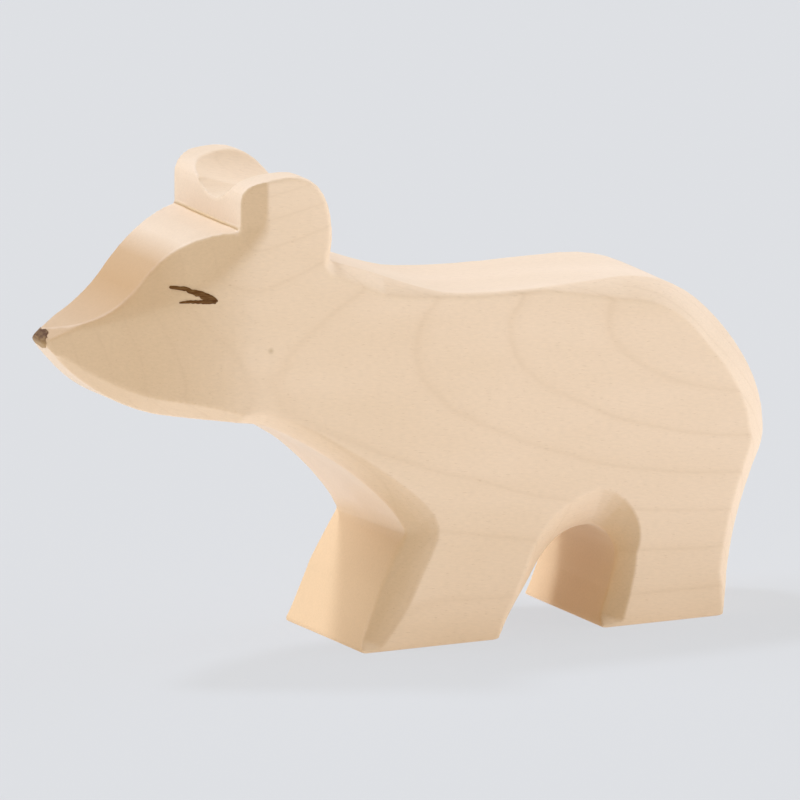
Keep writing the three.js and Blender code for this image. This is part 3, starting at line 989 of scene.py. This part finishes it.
@dataclass
class NoseMark:
    """The dab of paint on the nose tip, wider on top than below.

    Its edge is given as bearings round the nose's axis, 0 at the top, each with the angle that the
    dab reaches from the axis there, in degrees.
    """

    node: str = "nose_mark"
    heart: Vector = field(default_factory=lambda: Vector((2.3, 0.0, 0.08)) * MM)
    edge: tuple[tuple[float, float], ...] = (
        (0, 42), (25, 50), (53, 74), (72, 82), (93, 72), (106, 64), (120, 68), (143, 74), (180, 78))
    film: Film = Film(0.02 * MM, 0.06 * MM)
    start_radius: float = 6 * MM
    steps_round: int = 64
    steps_down: int = 48
    rim: float = -0.01 * MM
    raggedness: float = 0.05
    ragged_repeats: float = 2
    ragged_layer: float = 0.3

    def build(self, wood: Object, paint: Material) -> Object:
        """Dab the nose.

        Args:
            wood: The carving that carries the paint.
            paint: The paint's finish.

        Returns:
            The dab.
        """
        piece = self._half_ball()
        self._shape(piece)
        bpy.ops.object.mode_set(mode="EDIT")
        bpy.ops.mesh.select_all(action="SELECT")
        bpy.ops.mesh.normals_make_consistent(inside=False)
        bpy.ops.object.mode_set(mode="OBJECT")
        if piece.data.polygons[0].normal.x > 0:
            piece.data.flip_normals()
        self.film.lay(piece, wood, use_negative_direction=True, use_positive_direction=False)
        declare(piece, self.node, paint)
        return piece

    def _half_ball(self) -> Object:
        """Make the upper half of a ball, open below.

        Returns:
            The half ball, at the origin.
        """
        bpy.ops.object.select_all(action="DESELECT")
        bpy.ops.mesh.primitive_uv_sphere_add(
            segments=self.steps_round, ring_count=self.steps_down, radius=self.start_radius)
        piece = bpy.context.object
        piece.name = "nose_paint"
        bpy.ops.object.mode_set(mode="EDIT")
        bpy.ops.mesh.select_all(action="DESELECT")
        bpy.ops.object.mode_set(mode="OBJECT")
        for vertex in piece.data.vertices:
            vertex.select = vertex.co.z < self.rim
        bpy.ops.object.mode_set(mode="EDIT")
        bpy.ops.mesh.delete(type="VERT")
        bpy.ops.object.mode_set(mode="OBJECT")
        return piece

    def _shape(self, piece: Object) -> None:
        """Turn the half ball to face ahead of the nose and draw its rim to the dab's edge.

        Args:
            piece: The half ball.
        """
        low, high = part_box(self.node)
        centre = Vector((low.x, 0, (low.z + high.z) / 2)) + self.heart
        for vertex in piece.data.vertices:
            turn = math.atan2(vertex.co.y, vertex.co.x)
            angle = math.acos(min(1.0, vertex.co.z / vertex.co.length))
            angle *= self._edge(turn) / (math.pi / 2)
            sideways, upward = math.sin(turn), math.cos(turn)
            direction = Vector((-math.cos(angle), math.sin(angle) * sideways, math.sin(angle) * upward))
            vertex.co = centre + direction * self.start_radius

    def _edge(self, turn: float) -> float:
        """Find how far the dab reaches from the nose's axis.

        Args:
            turn: The direction round the axis, 0 at the top.

        Returns:
            The angle to the dab's edge.
        """
        round_axis = Vector((math.cos(turn), math.sin(turn), 0.0)) * self.ragged_repeats
        ragged = self.raggedness * noise.noise(Vector((round_axis.x, round_axis.y, self.ragged_layer)))
        bearing = min(abs(math.degrees(turn)), self.edge[-1][0])
        spans = zip(self.edge, self.edge[1:])
        (first, near), (last, far) = next(span for span in spans if bearing <= span[1][0])
        return math.radians(near + (far - near) * smooth_step(first, last, bearing)) * (1 + ragged)


class Tint(Enum):
    """The colours of the lamps' light."""

    COOL = (0.88, 1.0, 1.2)
    WARM = (1.02, 1.0, 0.9)


@dataclass(frozen=True)
class Lamp:
    """A distant soft lamp: the direction to it, its level, the angle it fills and its colour."""

    name: str
    direction: Triple
    level: float
    spread: float
    tint: Tint = Tint.COOL


@dataclass
class Studio:
    """The pale floor, the soft light and the camera."""

    paper: Colour = (222, 224, 228)
    floor_size: float = 8.0
    bounce: float = 0.9
    evenness: float = 0.82
    floor_light: Triple = (1.18, 1.23, 1.3)
    floor_glow: float = 0.3
    sky_level: float = 0.35
    shade_tint: Triple = (1.14, 1.0, 0.72)
    lamps: tuple[Lamp, ...] = (
        Lamp("key", (-0.24, 0.39, 0.89), 0.5, math.radians(9)),
        Lamp("rear_fill", (0.88, 0.0, 0.47), 0.31, math.radians(50)),
        Lamp("near_fill", (0.86, -0.5, 0.12), 0.27, math.radians(40), Tint.WARM),
        Lamp("side_fill", (0.0, -0.95, 0.3), 0.05, math.radians(50), Tint.WARM),
        Lamp("front_fill", (-0.72, 0.3, 0.63), 0.39, math.radians(30)),
    )
    aim: Vector = field(default_factory=lambda: Vector((2.63, 0.0, 33.5)) * MM)
    picture_pixels: int = 800
    pixels_per_millimetre: int = 7
    azimuth: float = math.radians(-26.5)
    elevation: float = math.radians(12.5)
    distance: float = 1.0
    clip_near: float = 0.01
    clip_far: float = 10.0

    def build(self) -> None:
        """Set up the floor, the light and the camera."""
        self._floor()
        self._sky()
        for lamp in self.lamps:
            self._lamp(lamp)
        self._camera()
        bpy.context.scene.view_settings.view_transform = "Standard"

    def _floor(self) -> None:
        """Lay the floor: what is seen of it glows evenly and takes a faint shadow."""
        bpy.ops.object.select_all(action="DESELECT")
        bpy.ops.mesh.primitive_plane_add(size=self.floor_size)
        floor = bpy.context.object
        floor.name = "studio_floor"
        bench = Bench("studio_paper")
        shown = self._shown(bench.tree)
        tone = linear(*self.paper)
        shade = [level * (1 - self.evenness) / light for level, light in zip(tone, self.floor_light)] + [1.0]
        lit = bench.add("ShaderNodeBsdfDiffuse")
        bench.feed(lit.inputs["Color"], bench.blend(shown, [self.bounce] * 3 + [1.0], shade))
        glow = bench.add("ShaderNodeEmission")
        seen = [level * self.evenness for level in tone[:3]] + [1.0]
        bench.feed(glow.inputs["Color"], bench.blend(shown, [self.floor_glow] * 3 + [1.0], seen))
        both = bench.add("ShaderNodeAddShader")
        bench.feed(both.inputs[0], lit.outputs[0])
        bench.feed(both.inputs[1], glow.outputs[0])
        floor.data.materials.append(bench.finish(both.outputs[0]))

    def _sky(self) -> None:
        """Light the scene evenly from all round, with the floor's colour behind the bear."""
        world = bpy.data.worlds.new("studio_sky")
        bpy.context.scene.world = world
        world.use_nodes = True
        tree = world.node_tree
        tree.nodes.clear()
        light = tree.nodes.new("ShaderNodeBackground")
        light.inputs["Color"].default_value = (*self.shade_tint, 1.0)
        light.inputs["Strength"].default_value = self.sky_level
        seen = tree.nodes.new("ShaderNodeBackground")
        seen.inputs["Color"].default_value = linear(*self.paper)
        mix = tree.nodes.new("ShaderNodeMixShader")
        output = tree.nodes.new("ShaderNodeOutputWorld")
        tree.links.new(self._shown(tree), mix.inputs[0])
        tree.links.new(light.outputs[0], mix.inputs[1])
        tree.links.new(seen.outputs[0], mix.inputs[2])
        tree.links.new(mix.outputs[0], output.inputs["Surface"])

    @staticmethod
    def _shown(tree: NodeTree) -> NodeSocket:
        """Tell the rays that show the paper as it looks from those that only carry its light.

        Args:
            tree: The node tree.

        Returns:
            1 for what is seen directly, mirrored or through something clear.
        """
        path = tree.nodes.new("ShaderNodeLightPath")
        shown = path.outputs["Is Camera Ray"]
        for name in ("Is Glossy Ray", "Is Transmission Ray"):
            either = tree.nodes.new("ShaderNodeMath")
            either.operation = "MAXIMUM"
            tree.links.new(shown, either.inputs[0])
            tree.links.new(path.outputs[name], either.inputs[1])
            shown = either.outputs[0]
        return shown

    @staticmethod
    def _lamp(lamp: Lamp) -> None:
        """Hang one lamp.

        Args:
            lamp: The lamp.
        """
        light = bpy.data.lights.new(lamp.name, "SUN")
        light.energy = lamp.level * math.pi
        light.angle = lamp.spread
        light.color = lamp.tint.value
        holder = bpy.data.objects.new(lamp.name, light)
        bpy.context.scene.collection.objects.link(holder)
        holder.rotation_mode = "QUATERNION"
        holder.rotation_quaternion = Vector(lamp.direction).to_track_quat("Z", "Y")

    def _camera(self) -> None:
        """Set the camera at the photograph's angle and scale."""
        lens = bpy.data.cameras.new("studio_camera")
        lens.type = "ORTHO"
        lens.ortho_scale = self.picture_pixels / self.pixels_per_millimetre * MM
        lens.clip_start = self.clip_near
        lens.clip_end = self.clip_far
        back = Vector((
            math.sin(self.azimuth) * math.cos(self.elevation),
            -math.cos(self.azimuth) * math.cos(self.elevation),
            math.sin(self.elevation)))
        camera = bpy.data.objects.new("studio_camera", lens)
        bpy.context.scene.collection.objects.link(camera)
        camera.rotation_mode = "QUATERNION"
        camera.location = self.aim + back * self.distance
        camera.rotation_quaternion = (-back).to_track_quat("-Z", "Y")
        bpy.context.scene.camera = camera


def main() -> None:
    """Build the bear and its studio."""
    logging.basicConfig(level=logging.INFO, format="%(name)s: %(message)s")
    wood = Carving().build()
    eye_paint = EYE_PAINT.material()
    left_eye = EyeMark(Side.LEFT, "left_eye_mark").build(wood, eye_paint)
    right_eye = EyeMark(Side.RIGHT, "right_eye_mark").build(wood, eye_paint)
    nose = NoseMark().build(wood, NOSE_PAINT.material())
    for piece in (wood, left_eye, right_eye, nose):
        LOG.info("%s: %d faces", piece.name, len(piece.data.polygons))
    Studio().build()


if __name__ == "__main__":
    main()
